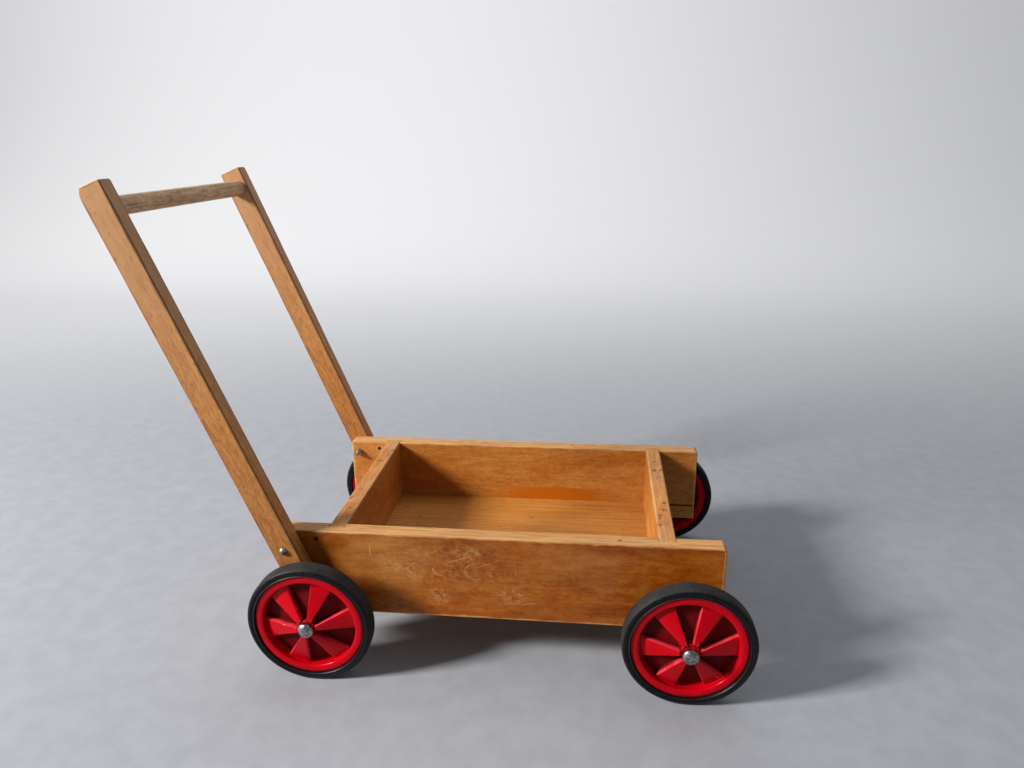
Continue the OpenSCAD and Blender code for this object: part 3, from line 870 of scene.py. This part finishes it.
scratches = red.ramp(red.noise((40, 60, 1500), detail=1, turn=(0.6, 0, 0)), 0.69, 0.72)
roughness = red.ramp(flow, 0.3, 0.7, 0.16, 0.27)
roughness = red.plus(roughness, red.times(scratches, 0.2), red.times(shaded_recess, 0.4))
red_plastic = red.done(colour, roughness, red.minus(fine, scratches), 0.00003)

phases = {"rear_right": 10.5, "front_right": 4.0, "rear_left": 180 - 27.0, "front_left": 180 - 27.0}
wheel_places = {}
for corner, phase in phases.items():
    axle, side = corner.split("_")
    low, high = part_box("tyre_" + corner)
    rim_face = (max(abs(low.y), abs(high.y)) - tyre_proud) * (-1 if side == "right" else 1)
    wheel_places[corner] = outward(axles[axle], side, rim_face)
    wheel = moulded_wheel("wheel_" + corner, phase)
    wheel.matrix_world = wheel_places[corner]
    wheel.data.materials.append(red_plastic)
    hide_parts("wheel_" + corner)
    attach(wheel, corner + "_wheel")


# ---------------------------------------- tyres
# Solid black rubber rings stretched over the rims.  The side walls are flat and shiny with a
# thin raised lip against the rim; the tread is worn matt and grey with dust.

tyre_radius, tyre_width, shoulder = 0.0625, 0.0185, 0.004
back = tyre_proud - tyre_width


def tyre_section():
    """The ring's section as (radius, out from the rim face), all the way round."""
    bead, seat, play = lip_radius + 0.0001, seat_radius + 0.0001, 0.0002
    section = [(bead, -0.0004), (bead + 0.0006, tyre_proud - 0.0004), (bead + 0.0010, tyre_proud),
               (bead + 0.0014, tyre_proud - 0.0004), (bead + 0.0019, tyre_proud - 0.0006),
               (tyre_radius - shoulder - 0.0006, tyre_proud - 0.0004)]
    rounded = arc(0, 0, shoulder, 0, 90, 9)
    section += [(tyre_radius - shoulder + s, tyre_proud - shoulder + c) for c, s in rounded]
    for i in range(1, 8):
        groove = 0.0001 if i == 4 else 0.0
        section.append((tyre_radius - groove, tyre_proud - shoulder - (tyre_width - 2 * shoulder) * i / 8))
    section += [(tyre_radius - shoulder + c, back + shoulder - s) for c, s in rounded]
    section += [(bead + 0.0018, back + 0.0004), (bead + 0.0007, back), (bead, back + 0.0012),
                (bead, lip_thickness - barrel_width - play), (seat, lip_thickness - barrel_width + play),
                (seat, -lip_thickness - play), (bead, -lip_thickness + play)]
    return section


rubber = Recipe("tyre_rubber", {"Specular IOR Level": 0.20})
x, y, z = rubber.split(rubber.at)
away = rubber.radius(y, z)
tread = rubber.ramp(away, tyre_radius - 0.0020, tyre_radius - 0.0003)
grain = rubber.noise(260, detail=4, rough=0.6)
patches = rubber.noise(34, detail=4)
dust = rubber.times(rubber.ramp(patches, 0.30, 0.62, 0.45, 1.0), rubber.ramp(grain, 0.25, 0.60, 0.6, 1.0))
colour = rubber.blend(rubber.ramp(grain, 0.4, 0.62), shade(11, 11, 13), shade(18, 18, 21))
colour = rubber.blend(rubber.times(dust, tread), colour, shade(51, 48, 47))
# A pale grey line on the rubber lip against the rim: faint all round as wear, and brightened into a painted
# highlight toward the upper left as one faces the wheel
lip_wear_and_highlight = rubber.ramp(away, lip_radius + 0.0014, lip_radius + 0.0008)
lip_wear_and_highlight = rubber.times(lip_wear_and_highlight, rubber.ramp(x, 0.0010, 0.0015))
lit_side = rubber.ramp(rubber.plus(rubber.times(y, -0.7), z), -0.02, 0.05, 0.12, 0.8)
colour = rubber.blend(rubber.times(lip_wear_and_highlight, lit_side), colour, shade(104, 100, 100))
roughness = rubber.plus(rubber.ramp(grain, 0.3, 0.7, 0.34, 0.46), rubber.times(tread, 0.34))
height = rubber.plus(rubber.times(grain, 0.6), rubber.times(rubber.noise(1400, detail=2), tread, 0.4))
tyre_rubber = rubber.done(colour, roughness, height, 0.00010)

for corner, place in wheel_places.items():
    tyre = turned("tyre_" + corner, tyre_section(), 160, ring=True)
    tyre.matrix_world = place
    tyre.data.materials.append(tyre_rubber)
    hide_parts("tyre_" + corner)
    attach(tyre, corner + "_wheel")


# ---------------------------------------- axle caps
# Pressed steel caps, driven on to the rod ends to keep the wheels on.  Bright once, and now
# scratched and pitted on their domes.

cap_radius, cap_skirt, cap_dome, cap_bore = 0.0078, 0.004, 0.0035, 0.0055
cap_steel = plated("scuffed_cap_steel", (176, 170, 172), 0.22)
sphere = (cap_radius ** 2 + cap_dome ** 2) / (2 * cap_dome)
rim_angle = math.degrees(math.asin((cap_radius - 0.0005) / sphere))
for corner in phases:
    axle, side = corner.split("_")
    low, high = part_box("axle_cap_" + corner)
    foot = min(abs(low.y), abs(high.y))
    crown = foot + cap_skirt + cap_dome
    profile = [(0, crown)] + [(r, crown - sphere + h) for h, r in arc(0, 0, sphere, 5, rim_angle, 9)]
    profile += [(cap_radius - 0.0001, foot + cap_skirt - 0.0001), (cap_radius, foot + cap_skirt - 0.0006),
                (cap_radius, foot + 0.0004), (cap_radius - 0.0003, foot), (axle_radius + 0.0002, foot),
                (axle_radius, foot + 0.0003), (axle_radius, foot + cap_bore), (0, foot + cap_bore)]
    cap = turned("axle_cap_" + corner, profile, 64)
    cap.matrix_world = outward(axles[axle], side)
    cap.data.materials.append(cap_steel)
    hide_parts("axle_cap_" + corner)
    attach(cap, axle + "_axle_rod")


# ---------------------------------------- floor, light and camera
# A plain pale floor that sweeps up behind, a soft light from the pusher's right and behind as
# if from a window, a broad weak one overhead, and a camera above the right-hand side.

floor_front, floor_end, bend, sweep_top, sweep_half = -14.0, 1.6, 1.2, 5.0, 16.0
sweep = [(floor_front, 0.0)] + arc(floor_end, bend, bend, -90, 0, 15) + [(floor_end + bend, sweep_top)]
bm = bmesh.new()
edges = [[bm.verts.new((x, y, z)) for y, z in sweep] for x in (-sweep_half, sweep_half)]
for i in range(len(sweep) - 1):
    bm.faces.new((edges[0][i], edges[1][i], edges[1][i + 1], edges[0][i + 1]))
studio_floor = finished("studio_floor", bm, narrow=0)
paper = Recipe("studio_paper", {"Specular IOR Level": 0.2})
tooth = paper.noise(40)
colour = paper.blend(paper.ramp(tooth, 0.3, 0.7), shade(154, 156, 162), shade(160, 162, 168))
# The sweep grows paler behind the wagon
behind = paper.ramp(paper.split(paper.at)[1], 0.3, 2.2)
colour = paper.blend(behind, colour, shade(240, 240, 242))
studio_floor.data.materials.append(paper.done(colour, paper.ramp(tooth, 0.3, 0.7, 0.7, 0.8), tooth, 0.0001))


def softbox(name, travel, distance, size, power, colour):
    """A soft rectangular light that shines on the wagon along a direction."""
    light = bpy.data.lights.new(name, "AREA")
    light.shape, light.energy, light.color = "RECTANGLE", power, colour
    light.size, light.size_y = size
    holder = bpy.data.objects.new(name, light)
    holder.location = Vector((0, 0, 0.15)) - travel.normalized() * distance
    holder.rotation_euler = travel.to_track_quat("-Z", "Y").to_euler()
    bpy.context.scene.collection.objects.link(holder)


softbox("window", Vector((1.95, 1.0, -1.22)), 3.2, (0.55, 0.65), 166, (1.0, 0.985, 0.96))
softbox("overhead", Vector((-0.20, -0.35, -1.0)), 2.6, (2.4, 1.6), 17, (0.96, 0.98, 1.0))

world = bpy.data.worlds.new("soft_room")
world.use_nodes = True
background = world.node_tree.nodes["Background"].inputs
background["Color"].default_value = (0.90, 0.95, 1.0, 1.0)
background["Strength"].default_value = 0.20
bpy.context.scene.world = world
bpy.context.scene.view_settings.view_transform = "Standard"

camera = bpy.data.cameras.new("camera")
camera.sensor_width, camera.lens = 36.0, 26.569
yaw, pitch, roll = -0.113649, -0.315292, -0.012330
forward = Vector((math.sin(yaw) * math.cos(pitch), math.cos(yaw) * math.cos(pitch), math.sin(pitch)))
level = forward.cross(Vector((0, 0, 1))).normalized()
upright = level.cross(forward)
right = level * math.cos(roll) + upright * math.sin(roll)
upward = upright * math.cos(roll) - level * math.sin(roll)
camera_at = Vector((0.145652, -0.765361, 0.513735))
camera_object = bpy.data.objects.new("camera", camera)
turned_camera = Matrix((right, upward, -forward)).transposed().to_4x4()
camera_object.matrix_world = Matrix.Translation(camera_at) @ turned_camera
bpy.context.scene.collection.objects.link(camera_object)
bpy.context.scene.camera = camera_object
